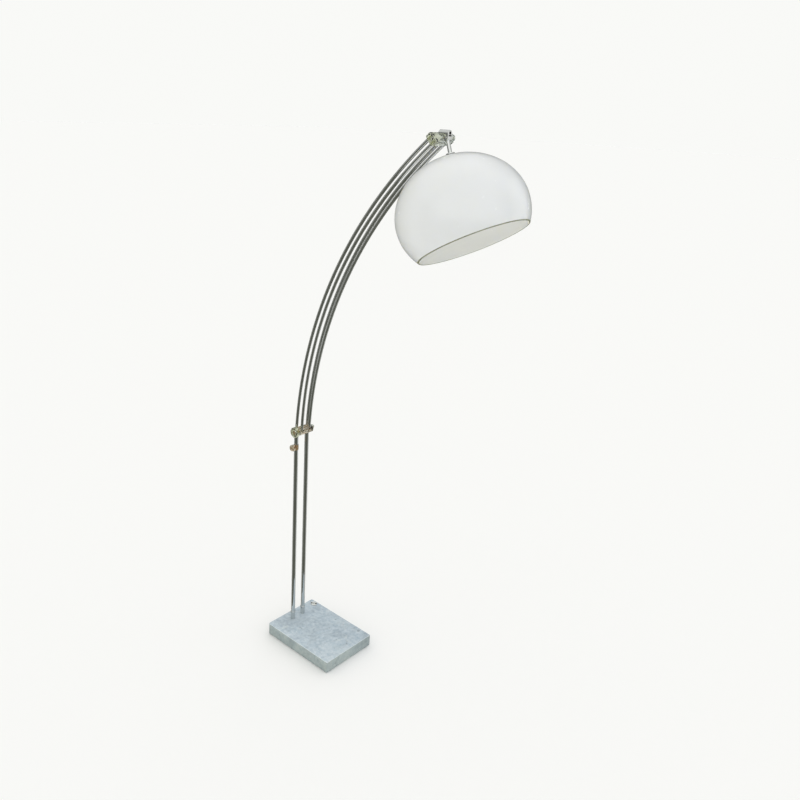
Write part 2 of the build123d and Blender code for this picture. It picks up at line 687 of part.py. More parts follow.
with BuildPart() as shade_stem:
    with BuildSketch(cross_plane(tilt_pivot_x, eye_half_width, tilt_pivot_z)):
        Circle(eye_radius)
    extrude(amount=2 * eye_half_width)
    with BuildSketch(stem_plane(0)):
        Circle(stem_radius)
    extrude(amount=flange_start)
    with BuildSketch(stem_plane(flange_start)):
        Circle(stem_flange)
    extrude(amount=flange_thickness)
    chamfer(shade_stem.faces().sort_by(Axis.Z)[0].edges(), flange_chamfer)
    with BuildSketch(stem_plane(flange_start)):
        Circle(thread_radius)
    extrude(amount=thread_end - flange_start)
    with BuildSketch(stem_plane(side_hole_distance)):
        Circle(stem_bore)
    extrude(amount=thread_end, mode=Mode.SUBTRACT)
    with BuildSketch(Plane(origin=pivot + down * side_hole_distance, z_dir=(-1, 0, 0))):
        Circle(stem_side_hole)
    extrude(amount=2 * stem_radius, mode=Mode.SUBTRACT)
    with BuildSketch(cross_plane(tilt_pivot_x, 2 * eye_radius, tilt_pivot_z)):
        Circle(tilt_screw_radius + fit_gap)
    extrude(amount=4 * eye_radius, mode=Mode.SUBTRACT)
save(shade_stem.part, "shade_stem")

save(stem_sleeve(dome_top - gasket_thickness, gasket_thickness, stem_flange, thread_radius + press_gap),
     "shade_gasket")
save(stem_sleeve(inner_washer_start, inner_washer, inner_washer_radius, thread_radius + press_gap),
     "shade_washer")
save(stem_sleeve(inner_washer_start + inner_washer, stem_nut, stem_nut_flat / 2, thread_radius + press_gap,
                 6), "shade_nut")

dome_centre = pivot + down * pivot_to_dome_centre
dome_plane = Plane(origin=dome_centre, x_dir=(cos(radians(stem_angle)), 0, sin(radians(stem_angle))),
                   z_dir=(0, -1, 0))
opening_normal = Vector(sin(radians(opening_angle)), 0, -cos(radians(opening_angle)))
opening_plane = Plane(origin=dome_centre + opening_normal * opening_depth, z_dir=opening_normal)

with BuildPart() as dome_shade:
    with BuildSketch(dome_plane):
        Ellipse(dome_radius, dome_half_height)
        Ellipse(dome_radius - dome_wall, dome_half_height - dome_wall, mode=Mode.SUBTRACT)
        with Locations((-dome_radius, 0)):
            Rectangle(2 * dome_radius, 4 * dome_radius, mode=Mode.SUBTRACT)
    revolve(axis=Axis(dome_centre, down))
    split(bisect_by=opening_plane, keep=Keep.BOTTOM)
    with BuildSketch(stem_plane(dome_top - dome_wall)):
        Circle(thread_radius + clear_gap)
    extrude(amount=4 * dome_wall, mode=Mode.SUBTRACT)
save(dome_shade.part, "dome_shade")

holder_length = 44.0
holder_radius = 19.0
holder_rounding = 5.0
holder_mouth_radius = 14.0
holder_mouth_depth = 27.0
ring_radius = 23.0
ring_length = 7.0
ring_from_mouth = 16.0
bulb_cap_radius = 13.0
bulb_cap_length = 24.0
bulb_cap_depth = 25.0           # how far the cap reaches into the holder
bulb_cap_rounding = 4.0
holder_end = holder_start + holder_length
bulb_cap_start = holder_end - bulb_cap_depth
bulb_radius = 30.0
bulb_foot = 12.0
bulb_neck = 15.0
bulb_neck_length = 12.0
bulb_length = 82.0
bulge_start = -28.0             # degrees round the bulb's globe where the neck leaves it

with BuildPart() as lampholder:
    with BuildSketch(stem_plane(holder_start)):
        Circle(holder_radius)
    extrude(amount=holder_length)
    fillet(lampholder.edges().group_by(Axis(pivot, down))[0], holder_rounding)
    with BuildSketch(stem_plane(holder_start)):
        Circle(thread_radius + press_gap)
    extrude(amount=holder_length, mode=Mode.SUBTRACT)
    with BuildSketch(stem_plane(holder_end - holder_mouth_depth)):
        Circle(holder_mouth_radius)
    extrude(amount=holder_length, mode=Mode.SUBTRACT)
save(lampholder.part, "lampholder")

save(stem_sleeve(holder_end - ring_from_mouth, ring_length, ring_radius, holder_radius + press_gap),
     "lampholder_ring")

with BuildPart() as bulb_cap:
    with BuildSketch(stem_plane(bulb_cap_start)):
        Circle(bulb_cap_radius)
    extrude(amount=bulb_cap_length)
    fillet(bulb_cap.edges().group_by(Axis(pivot, down))[0], bulb_cap_rounding)
save(bulb_cap.part, "bulb_cap")

bulb_start = bulb_cap_start + bulb_cap_length + press_gap
bulb_plane = Plane(origin=pivot + down * bulb_start,
                   x_dir=(cos(radians(stem_angle)), 0, sin(radians(stem_angle))), z_dir=(0, 1, 0))
with BuildPart() as bulb_glass:
    for wall, mode in ((0.0, Mode.ADD), (bulb_wall, Mode.SUBTRACT)):
        with BuildSketch(bulb_plane):
            with BuildLine():
                foot = Line((0, 0), (bulb_foot - wall, 0))
                neck = Line(foot @ 1, (bulb_neck - wall, bulb_neck_length))
                bulge = CenterArc((0, bulb_length - bulb_radius), bulb_radius - wall, bulge_start,
                                  90 - bulge_start)
                TangentArc(bulge @ 0, neck @ 1, tangent=-(bulge % 0))
                Line(bulge @ 1, foot @ 0)
            make_face()
        revolve(axis=Axis(pivot, down), mode=mode)
save(bulb_glass.part, "bulb_glass")
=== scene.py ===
"""The looks of the arc floor lamp, built round its CAD frame. Everything is in metres, +Z up.

The origin is the centre of the base's underside and +X runs from the mast towards the shade.
"near" pieces have negative Y and "far" ones positive Y.
"""
import json
import math

import bpy
from mathutils import Matrix, Vector


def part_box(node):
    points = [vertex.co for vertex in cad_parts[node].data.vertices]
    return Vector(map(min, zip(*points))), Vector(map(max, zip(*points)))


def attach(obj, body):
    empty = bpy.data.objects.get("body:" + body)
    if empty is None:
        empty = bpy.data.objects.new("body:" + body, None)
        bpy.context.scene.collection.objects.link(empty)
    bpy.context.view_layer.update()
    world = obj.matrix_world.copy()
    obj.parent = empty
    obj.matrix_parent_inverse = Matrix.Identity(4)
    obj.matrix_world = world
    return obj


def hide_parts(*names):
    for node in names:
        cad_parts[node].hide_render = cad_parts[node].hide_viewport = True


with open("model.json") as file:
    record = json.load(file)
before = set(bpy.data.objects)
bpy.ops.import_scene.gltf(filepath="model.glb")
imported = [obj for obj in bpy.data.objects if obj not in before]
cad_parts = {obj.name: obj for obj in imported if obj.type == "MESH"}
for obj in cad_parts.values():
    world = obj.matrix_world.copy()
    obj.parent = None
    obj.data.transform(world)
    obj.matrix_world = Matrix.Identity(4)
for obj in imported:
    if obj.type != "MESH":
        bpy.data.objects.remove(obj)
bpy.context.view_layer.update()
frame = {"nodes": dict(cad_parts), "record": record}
nodes = frame["nodes"]
MM = 0.001

# ---- driving dimensions, the same as the CAD's ----
mast_x = -128.0 * MM
mast_half_spacing = 27.5 * MM
tube_radius = 8.0 * MM
tube_bore = 6.5 * MM
rod_radius = 5.5 * MM
rod_bore = 4.3 * MM

clamp_z = 898.0 * MM
clamp_bar_z = 902.0 * MM
clamp_bar_height = 22.0 * MM
rod_depth_clamp = 10.0 * MM
rod_depth_top = 16.0 * MM
arc_radius = 1545.0 * MM
arc_lean = 3.0                  # degrees from vertical where the arc leaves the clamp
arc_end = 49.8                  # the same where it enters the top bar
splay = 0.63                    # degrees that each side's plane turns outwards
inner_half_spacings = (19.0 * MM, 22.5 * MM, 23.5 * MM)    # at the clamp, half-way and at the top bar
inner_insets = (20.5 * MM, 17.0 * MM, 16.0 * MM)

tilt_pivot = Vector((458.0, 0.0, 2002.0)) * MM
stem_angle = math.radians(19.9)
pivot_to_dome_centre = 224.8 * MM
dome_radius = 200.0 * MM
dome_half_height = 176.5 * MM
dome_wall = 3.0 * MM
opening_angle = math.radians(29.9)
opening_depth = 90.5 * MM

Y, Z = Vector((0, 1, 0)), Vector((0, 0, 1))
stem_down = Vector((math.sin(stem_angle), 0, -math.cos(stem_angle)))


# ---- camera, floor and light ----
def make_camera():
    """The viewer stands in front of the shade, on the near side, with the eye just above the tilt joint."""
    place = Vector((1.900, -1.934, 2.075))
    heading, down, roll = math.radians(-42.33), math.radians(19.80), math.radians(2.584)
    level_ahead = Vector((math.sin(heading), math.cos(heading), 0))
    level_right = Vector((math.cos(heading), -math.sin(heading), 0))
    ahead = level_ahead * math.cos(down) - Z * math.sin(down)
    level_up = level_ahead * math.sin(down) + Z * math.cos(down)
    right = level_right * math.cos(roll) + level_up * math.sin(roll)
    up = level_up * math.cos(roll) - level_right * math.sin(roll)
    data = bpy.data.cameras.new("camera")
    data.sensor_width = 36.0
    data.lens = 35.36
    data.shift_x = 0.0568
    data.shift_y = -0.0120
    camera = bpy.data.objects.new("camera", data)
    camera.matrix_world = Matrix.Translation(place) @ Matrix((right, up, -ahead)).transposed().to_4x4()
    bpy.context.scene.collection.objects.link(camera)
    bpy.context.scene.camera = camera


class Nodes:
    """Short ways to add and link the nodes of one tree."""

    def __init__(self, tree):
        self.tree = tree
        tree.nodes.clear()

    def add(self, kind, inputs=None, **settings):
        """A node with settings on itself and values or links on its inputs."""
        node = self.tree.nodes.new(kind)
        for key, value in settings.items():
            setattr(node, key, value)
        for key, value in (inputs or {}).items():
            if isinstance(value, bpy.types.NodeSocket):
                self.tree.links.new(value, node.inputs[key])
            else:
                node.inputs[key].default_value = value
        return node

    def math(self, operation, a, b=0.0, c=0.0):
        """One Math node's result."""
        return self.add("ShaderNodeMath", {0: a, 1: b, 2: c}, operation=operation).outputs[0]

    def between(self, value, start, end):
        """0 up to the start, 1 past the end, and a straight rise between; the end may be the lower one."""
        return self.add("ShaderNodeMapRange", {0: value, 1: start, 2: end}).outputs[0]

    def noise(self, vector, scale, detail=4.0, roughness=0.55, distortion=0.0):
        """Fractal noise between 0 and 1."""
        return self.add("ShaderNodeTexNoise", {"Vector": vector, "Scale": scale, "Detail": detail,
                                               "Roughness": roughness, "Distortion": distortion}).outputs[0]

    def ramp(self, factor, *stops, ease="LINEAR"):
        """A colour ramp through (place, grey or colour) stops."""
        node = self.add("ShaderNodeValToRGB", {0: factor})
        node.color_ramp.interpolation = ease
        elements = node.color_ramp.elements
        while len(elements) < len(stops):
            elements.new(1.0)
        for element, (place, value) in zip(elements, stops):
            element.position = place
            element.color = (*value, 1) if isinstance(value, tuple) else (value, value, value, 1)
        return node.outputs[0]

    def mix(self, factor, a, b, blend="MIX"):
        """Two colours mixed."""
        node = self.add("ShaderNodeMix", {0: factor, 6: a, 7: b}, data_type="RGBA", blend_type=blend)
        return node.outputs[2]

    def bump(self, height, strength, distance, normal=None):
        """A bump's normal from a height."""
        inputs = {"Height": height, "Strength": strength, "Distance": distance}
        if normal:
            inputs["Normal"] = normal
        return self.add("ShaderNodeBump", inputs).outputs[0]


def make_world():
    """A world of plain soft tones.

    It differs by kind of ray: light from all round for the matt surfaces, a dimmer room with soft lights
    for the chrome to mirror, a third for what shows through clear acrylic, and one flat backdrop.
    """
    world = bpy.data.worlds.new("studio")
    bpy.context.scene.world = world
    world.use_nodes = True
    n = Nodes(world.node_tree)
    part = n.add("ShaderNodeSeparateXYZ", {0: n.add("ShaderNodeTexCoord").outputs["Generated"]}).outputs
    height = n.math("MULTIPLY_ADD", part[2], 0.5, 0.5)      # 0 straight down, 1 straight up

    # The light for matt surfaces is about a quarter weaker from the shade's side (+X), and from behind the
    # mast on the near side.
    soft = n.ramp(height, (0.0, (0.64, 0.64, 0.49)), (0.40, (0.80, 0.82, 0.71)), (0.54, (1.16, 1.20, 1.21)),
                  (1.0, (1.15, 1.14, 1.14)), ease="EASE")
    soft = n.mix(n.between(part[0], 0.0, 1.0), soft, (0.74, 0.76, 0.77, 1), "MULTIPLY")
    behind_mast = n.math("MULTIPLY_ADD", part[0], -0.8, n.math("MULTIPLY", part[1], -0.6))
    soft = n.mix(n.between(behind_mast, 0.0, 1.0), soft, (0.72, 0.71, 0.64, 1), "MULTIPLY")
    bearing = n.math("ARCTAN2", part[1], part[0])

    def soft_light(centre, half_width, soften, low, high, fade):
        """A soft-edged patch round one bearing in degrees, between two heights from -1 to 1."""
        away = n.math("ABSOLUTE", n.math("WRAP", n.math("SUBTRACT", bearing, math.radians(centre)),
                                         math.pi, -math.pi))
        across = n.between(away, math.radians(half_width + soften), math.radians(half_width))
        above = n.between(part[2], low - fade, low)
        below = n.between(part[2], high + fade, high)
        return n.math("MULTIPLY", across, n.math("MULTIPLY", above, below))

    # The chrome mirrors a dim room with soft lights behind the viewer, on both sides, at the back and
    # overhead. Each row is a light's bearing, half-width and soft edge in degrees, its lowest and highest
    # heights, how far they fade, and its strength.
    shine = n.ramp(height, (0.0, (0.15, 0.155, 0.130)), (0.45, (0.090, 0.095, 0.076)),
                   (0.60, (0.09, 0.095, 0.085)), (0.86, (0.24, 0.25, 0.25)), (0.93, (0.85, 0.86, 0.86)),
                   (1.0, (1.0, 1.0, 1.0)))
    soft_lights = ((-45, 50, 18, -0.06, 0.75, 0.08, 1.0),
                   (60, 14, 12, -0.65, 0.60, 0.15, 0.7),
                   (-146, 10, 12, -0.75, 0.50, 0.15, 0.4),
                   (180, 60, 20, 0.50, 0.97, 0.10, 0.5))
    for *place, strength in soft_lights:
        glow = n.math("MULTIPLY", soft_light(*place), strength)
        shine = n.mix(glow, shine, (1.12, 1.13, 1.11, 1))

    through = n.ramp(height, (0.0, (0.34, 0.35, 0.29)), (0.42, (0.50, 0.52, 0.44)),
                     (0.55, (0.74, 0.77, 0.68)), (1.0, (0.95, 0.97, 0.95)))
    path = n.add("ShaderNodeLightPath").outputs
    seen = n.mix(path["Is Glossy Ray"], soft, shine)
    seen = n.mix(path["Is Transmission Ray"], seen, through)
    backdrop = (0.947, 0.951, 0.929, 1)     # the floor's own tone, so that no horizon shows
    seen = n.mix(path["Is Camera Ray"], seen, backdrop)
    background = n.add("ShaderNodeBackground", {"Color": seen, "Strength": 1.0})
    n.add("ShaderNodeOutputWorld", {0: background.outputs[0]})


def make_floor():
    """A plain pale floor, open from below so that the underside can be looked at."""
    half = 60.0
    mesh = bpy.data.meshes.new("floor")
    corners = [(-half, -half, 0), (half, -half, 0), (half, half, 0), (-half, half, 0)]
    mesh.from_pydata(corners, [], [(0, 1, 2, 3)])
    floor = bpy.data.objects.new("floor", mesh)
    bpy.context.scene.collection.objects.link(floor)
    mat = bpy.data.materials.new("floor_pale")
    mat.use_nodes = True
    n = Nodes(mat.node_tree)
    pale = n.add("ShaderNodeBsdfPrincipled", {"Base Color": (0.93, 0.925, 0.915, 1), "Roughness": 0.9,
                                              "Specular IOR Level": 0.0})
    clear = n.add("ShaderNodeBsdfTransparent")
    below = n.add("ShaderNodeNewGeometry").outputs["Backfacing"]
    shader = n.add("ShaderNodeMixShader", {0: below, 1: pale.outputs[0], 2: clear.outputs[0]})
    n.add("ShaderNodeOutputMaterial", {0: shader.outputs[0]})
    mesh.materials.append(mat)
    # Mirrored and seen through acrylic, the lower half of the world stands in for it.
    floor.visible_glossy = False
    floor.visible_transmission = False


# ---- materials ----
materials = {}


def finish_material(n, **inputs):
    """Closes a material's tree with one Principled shader."""
    values = {key.replace("_", " "): value for key, value in inputs.items()}
    shader = n.add("ShaderNodeBsdfPrincipled", values)
    n.add("ShaderNodeOutputMaterial", {0: shader.outputs[0]})


def start_material(name):
    """A new node material, its node helper and its object coordinates."""
    mat = bpy.data.materials.new(name)
    mat.use_nodes = True
    materials[name] = mat
    n = Nodes(mat.node_tree)
    return n, n.add("ShaderNodeTexCoord").outputs["Object"]


def marble():
    """Polished pale blue-grey marble: clouds, mottling, flecks, pale chips, faint veins, duller sides with
    painted shade, and a painted highlight along the chamfers.
    """
    n, at = start_material("marble")
    clouds = n.noise(at, 9.0, 5.0, 0.55, 0.5)
    mottle = n.noise(at, 75.0, 7.0, 0.68, 0.3)
    colour = n.ramp(clouds, (0.30, (0.415, 0.482, 0.530)), (0.52, (0.490, 0.568, 0.625)),
                    (0.72, (0.575, 0.648, 0.690)))
    mottling = n.ramp(mottle, (0.32, (0.20, 0.22, 0.23)), (0.50, 0.5), (0.70, 0.78))
    colour = n.mix(0.42, colour, mottling, "OVERLAY")
    flecks = n.ramp(n.noise(at, 34.0, 3.0, 0.5), (0.64, 0.0), (0.71, 1.0))
    colour = n.mix(n.math("MULTIPLY", flecks, 0.62), colour, (0.215, 0.255, 0.285, 1))
    chips = n.ramp(n.noise(at, 15.0, 2.0, 0.5, 0.8), (0.68, 0.0), (0.74, 1.0))
    colour = n.mix(n.math("MULTIPLY", chips, 0.45), colour, (0.66, 0.71, 0.70, 1))
    ridge = n.math("ABSOLUTE", n.math("SUBTRACT", n.noise(at, 5.0, 7.0, 0.6, 1.2), 0.5))
    veins = n.ramp(ridge, (0.0, 1.0), (0.030, 0.0), ease="EASE")
    colour = n.mix(n.math("MULTIPLY", veins, 0.22), colour, (0.285, 0.335, 0.370, 1))
    normal = n.add("ShaderNodeNewGeometry").outputs["Normal"]
    facing = n.add("ShaderNodeSeparateXYZ", {0: normal}).outputs[2]
    place = n.add("ShaderNodeSeparateXYZ", {0: at}).outputs
    far_side = n.between(n.math("MULTIPLY_ADD", place[0], 0.4, place[1]), -0.16, 0.16)
    colour = n.mix(far_side, colour, (0.88, 0.89, 0.90, 1), "MULTIPLY")
    # Painted shade: the sides are darker and greener than the top. Their honed finish is also rougher.
    side = n.between(facing, 0.30, 0.05)
    # Painted highlight: a pale band along the chamfered edges of the top.
    painted_edge_highlight = n.ramp(facing, (0.30, 0.0), (0.60, 1.0), (0.90, 1.0), (0.97, 0.0))
    colour = n.mix(n.math("MULTIPLY", side, 0.90), colour, (0.76, 0.76, 0.68, 1), "MULTIPLY")
    colour = n.mix(n.math("MULTIPLY", painted_edge_highlight, 0.45), colour, (0.74, 0.80, 0.78, 1))
    roughness = n.add("ShaderNodeMapRange", {0: side, 3: 0.10, 4: 0.38}).outputs[0]
    finish_material(n, Base_Color=colour, Roughness=roughness, Specular_IOR_Level=0.5,
                    Normal=n.bump(n.noise(at, 420.0, 3.0), 0.05, 0.0006))


def chrome():
    """Mirror chrome with faint polishing waves and a few dull spots."""
    n, at = start_material("chrome")
    dull = n.ramp(n.noise(at, 34.0, 6.0, 0.65), (0.50, 0.020), (0.78, 0.12))
    tint = n.ramp(n.noise(at, 9.0, 3.0), (0.35, (0.66, 0.67, 0.655)), (0.65, (0.74, 0.75, 0.745)))
    normal = n.bump(n.noise(at, 60.0, 2.0), 0.03, 0.0006)
    normal = n.bump(n.noise(at, 900.0, 2.0), 0.02, 0.0002, normal)
    finish_material(n, Base_Color=tint, Metallic=1.0, Roughness=dull, Normal=normal)


def turned_metal(name, dark, light, rough):
    """Machined metal: fine turning marks and uneven colour."""
    n, at = start_material(name)
    marks = n.noise(at, 1300.0, 2.0, 0.5)
    colour = n.ramp(n.noise(at, 120.0, 5.0, 0.6), (0.35, dark), (0.70, light))
    roughness = n.ramp(marks, (0.3, rough - 0.06), (0.7, rough + 0.08))
    finish_material(n, Base_Color=colour, Metallic=1.0, Roughness=roughness,
                    Normal=n.bump(marks, 0.10, 0.0002))


def clear_acrylic(name, dark, light):
    """Clear cast acrylic, toned by age, yellower at the near end, slightly worn, and browner round the mast
    with a painted reflection of brass.
    """
    n, at = start_material(name)
    colour = n.ramp(n.noise(at, 30.0, 4.0, 0.6), (0.35, dark), (0.70, light))
    part = n.add("ShaderNodeSeparateXYZ", {0: at}).outputs
    colour = n.mix(n.between(part[1], -0.030, 0.010), colour, (0.90, 0.93, 0.92, 1))
    # Painted reflection: brown between the rods and on the lock, low down, for the brass parts nearby, not
    # the acrylic's own tone.
    between_rods = n.between(n.math("ABSOLUTE", part[1]), 0.040, 0.022)
    on_lock = n.between(part[2], 0.880, 0.862)
    low_down = n.between(part[2], 1.2, 1.0)
    painted_brass_reflection = n.ramp(n.noise(at, 38.0, 2.0), (0.42, (0.80, 0.63, 0.48)), (0.60, (0.88, 0.82, 0.72)))
    colour = n.mix(n.math("MULTIPLY", low_down, n.math("MAXIMUM", between_rods, on_lock)), colour, painted_brass_reflection)
    wear = n.ramp(n.noise(at, 260.0, 5.0, 0.7), (0.45, 0.03), (0.80, 0.16))
    finish_material(n, Base_Color=colour, Roughness=wear, IOR=1.49, Transmission_Weight=1.0,
                    Normal=n.bump(n.noise(at, 110.0, 3.0), 0.03, 0.0006))


def opal_acrylic():
    """Glossy opal white acrylic, softly translucent, with a faint tone and a little dust."""
    n, at = start_material("opal_acrylic")
    tone = n.ramp(n.noise(at, 3.5, 4.0, 0.5), (0.35, (0.840, 0.848, 0.824)),
                  (0.68, (0.862, 0.870, 0.854)))
    dust = n.ramp(n.noise(at, 210.0, 6.0, 0.7), (0.58, 0.0), (0.80, 1.0))
    colour = n.mix(n.math("MULTIPLY", dust, 0.05), tone, (0.52, 0.52, 0.45, 1))
    roughness = n.ramp(n.noise(at, 45.0, 6.0, 0.65), (0.35, 0.16), (0.75, 0.30))
    finish_material(n, Base_Color=colour, Roughness=roughness,
                    Subsurface_Weight=0.90, Subsurface_Radius=(1.0, 0.95, 0.80), Subsurface_Scale=0.014,
                    Coat_Weight=0.25, Coat_Roughness=0.08,
                    Normal=n.bump(n.noise(at, 22.0, 2.0), 0.05, 0.0015))


def opal_edge():
    """The sawn and polished edge of the opal sheet, in painted shade: darker and greener than its faces."""
    n, at = start_material("opal_edge")
    colour = n.ramp(n.noise(at, 90.0, 5.0, 0.6), (0.35, (0.20, 0.21, 0.13)), (0.70, (0.34, 0.35, 0.25)))
    finish_material(n, Base_Color=colour, Roughness=0.30,
                    Normal=n.bump(n.noise(at, 700.0, 3.0), 0.08, 0.0003))


def plain_surface(name, dark, light, roughness, grain, depth):
    """A moulded, rubber or felt surface: two close tones and a fine grain."""
    n, at = start_material(name)
    colour = n.ramp(n.noise(at, 70.0, 5.0, 0.6), (0.35, dark), (0.70, light))
    uneven = n.ramp(n.noise(at, grain * 0.5, 3.0), (0.3, roughness - 0.05), (0.7, roughness + 0.05))
    finish_material(n, Base_Color=colour, Roughness=uneven,
                    Normal=n.bump(n.noise(at, grain, 4.0), 0.25, depth))


def bulb_glass():
    """The bulb's pearl glass: white inside coating behind a smooth skin."""
    n, at = start_material("bulb_glass")
    colour = n.ramp(n.noise(at, 40.0, 4.0), (0.35, (0.84, 0.84, 0.81)), (0.70, (0.90, 0.90, 0.88)))
    roughness = n.ramp(n.noise(at, 180.0, 4.0), (0.35, 0.10), (0.75, 0.18))
    finish_material(n, Base_Color=colour, Roughness=roughness,
                    Subsurface_Weight=0.3, Subsurface_Radius=(1.0, 1.0, 0.9), Subsurface_Scale=0.003)


def make_materials():
    """Every finish, named as the record's slots are, and the clearer acrylic of the tilt knob."""
    marble()
    chrome()
    turned_metal("steel", (0.36, 0.36, 0.35), (0.62, 0.62, 0.61), 0.28)
    turned_metal("brass", (0.40, 0.31, 0.17), (0.60, 0.50, 0.32), 0.28)
    turned_metal("dark_screws", (0.010, 0.010, 0.010), (0.035, 0.035, 0.033), 0.48)
    turned_metal("bulb_metal", (0.58, 0.58, 0.57), (0.80, 0.80, 0.79), 0.22)
    clear_acrylic("clear_acrylic", (0.80, 0.82, 0.63), (0.93, 0.94, 0.86))
    clear_acrylic("knob_acrylic", (0.90, 0.93, 0.92), (0.97, 0.98, 0.98))
    opal_acrylic()
    opal_edge()
    plain_surface("nylon", (0.66, 0.65, 0.60), (0.76, 0.75, 0.70), 0.45, 600.0, 0.0003)
    plain_surface("rubber", (0.018, 0.018, 0.017), (0.035, 0.035, 0.033), 0.70, 900.0, 0.0003)
    plain_surface("felt", (0.030, 0.034, 0.030), (0.070, 0.076, 0.068), 0.92, 1600.0, 0.0008)
    plain_surface("outlet_plastic", (0.58, 0.60, 0.57), (0.70, 0.71, 0.68), 0.40, 700.0, 0.0003)
    plain_surface("holder_plastic", (0.66, 0.65, 0.61), (0.74, 0.73, 0.69), 0.38, 700.0, 0.0003)
    bulb_glass()


def dress_cad_nodes():
    """Gives each CAD node the finish of its slot."""
    for part in frame["record"]["subparts"]:
        mesh = nodes[part["node"]].data
        mesh.materials.clear()
        mesh.materials.append(materials[part["material_slot"]])


# ---- shapes ----
def add_mesh(name, points, faces, finish, sharp=35.0):
    """A smooth-shaded mesh whose edges over this many degrees stay crisp."""
    mesh = bpy.data.meshes.new(name)
    mesh.from_pydata(points, [], faces)
    mesh.polygons.foreach_set("use_smooth", [True] * len(faces))
    mesh.set_sharp_from_angle(angle=math.radians(sharp))
    mesh.materials.append(materials[finish])
    piece = bpy.data.objects.new(name, mesh)
    bpy.context.scene.collection.objects.link(piece)
    return piece


def rounded(corners, steps):
    """An outline with each (across, along, rounding) corner turned into an arc."""
    outline = []
    for k, (across, along, rounding) in enumerate(corners):
        here = Vector((across, along))
        if rounding == 0:
            outline.append(tuple(here))
            continue
        back = Vector(corners[k - 1][:2]) - here
        on = Vector(corners[(k + 1) % len(corners)][:2]) - here
        half = back.angle(on) / 2
        start, end = (here + way.normalized() * rounding / math.tan(half) for way in (back, on))
        centre = here + (back.normalized() + on.normalized()).normalized() * rounding / math.sin(half)
        for step in range(steps + 1):
            point = (start - centre).lerp(end - centre, step / steps).normalized() * rounding + centre
            outline.append(tuple(point))
    return outline


def lathe(name, outline, origin, axis, finish, segments):
    """A turned piece from a closed outline of (radius, distance along the axis) points."""
    axis = axis.normalized()
    across = axis.orthogonal().normalized()
    over = axis.cross(across)
    points, rings = [], []
    for radius, along in outline:
        count = segments if radius > 0 else 1
        rings.append([len(points) + k for k in range(count)])
        for k in range(count):
            turn = 2 * math.pi * k / segments
            spoke = across * math.cos(turn) + over * math.sin(turn)
            points.append(origin + axis * along + spoke * radius)
    faces = []
    for low, high in zip(rings, rings[1:] + rings[:1]):
        for k in range(segments if max(len(low), len(high)) > 1 else 0):
            face = [low[k % len(low)], low[(k + 1) % len(low)],
                    high[(k + 1) % len(high)], high[k % len(high)]]
            faces.append(list(dict.fromkeys(face)))
    return add_mesh(name, points, faces, finish)


def hollow_rod(name, path, plane_normal, radius, bore, finish):
    """A tube along a plane path, with softened ends."""
    segments = 48
    soften = 0.5 * MM
    last = len(path) - 1
    stations = [(path[0], 0, bore), (path[0], 0, radius - soften)]
    stations += [(path[0], soften, radius)] + [(path[k], 0, radius) for k in range(1, last)]
    stations += [(path[last], -soften, radius), (path[last], 0, radius - soften), (path[last], 0, bore)]
    stations += [(path[k], 0, bore) for k in range(last - 1, 0, -1)]
    places = [0, 0, 0, *range(1, last), last, last, last, *range(last - 1, 0, -1)]
    points, faces = [], []
    for (centre, shift, reach), k in zip(stations, places):
        ahead = (path[min(k + 1, last)] - path[max(k - 1, 0)]).normalized()
        across = plane_normal.cross(ahead)
        for step in range(segments):
            turn = 2 * math.pi * step / segments
            spoke = plane_normal * math.cos(turn) + across * math.sin(turn)
            points.append(centre + ahead * shift + spoke * reach)
    count = len(stations)
    for ring in range(count):
        low, high = ring * segments, (ring + 1) % count * segments
        for step in range(segments):
            nxt = (step + 1) % segments
            faces.append((low + step, low + nxt, high + nxt, high + step))
    return add_mesh(name, points, faces, finish)


# ---- chrome tubes and rods ----
def arc_point(side, half_spacing, lean, inset):
    """A point of the arc where it leans this far from vertical, inset towards the arc's centre."""
    reach = arc_radius - inset
    outwards = arc_radius * math.cos(math.radians(arc_lean)) - reach * math.cos(math.radians(lean))
    turn = math.radians(splay)
    up = reach * math.sin(math.radians(lean)) - arc_radius * math.sin(math.radians(arc_lean))
    return Vector((mast_x + outwards * math.cos(turn), side * (half_spacing + outwards * math.sin(turn)),
                   clamp_z + up))


def three_point_arc(start, middle, end, steps):
    """Points along the arc of a circle through three points, and the normal of its plane."""
    a, b = middle - start, end - start
    normal = a.cross(b).normalized()
    centre = start + (b.cross(normal) * a.length_squared - a.cross(normal) * b.length_squared) / (
        2 * b.cross(normal).dot(a))
    spoke = start - centre
    turn = spoke.angle(end - centre)
    ahead = normal.cross(spoke)
    if ahead.dot(a) < 0:
        ahead = -ahead
    angles = [turn * k / steps for k in range(steps + 1)]
    return [centre + spoke * math.cos(angle) + ahead * math.sin(angle) for angle in angles], normal


def curved_rod(pair, side):
    """The centre line of one curved rod and the normal of its plane."""
    per_length = math.degrees(1 / arc_radius)
    start = arc_lean + per_length * (clamp_bar_z - clamp_z + clamp_bar_height / 2 - rod_depth_clamp)
    finish = arc_end + per_length * rod_depth_top
    leans = (start, (start + finish) / 2, finish)
    spacings = (mast_half_spacing,) * 3 if pair == "outer" else inner_half_spacings
    insets = (0, 0, 0) if pair == "outer" else inner_insets
    return three_point_arc(*(arc_point(side, *place) for place in zip(spacings, leans, insets)), steps=120)


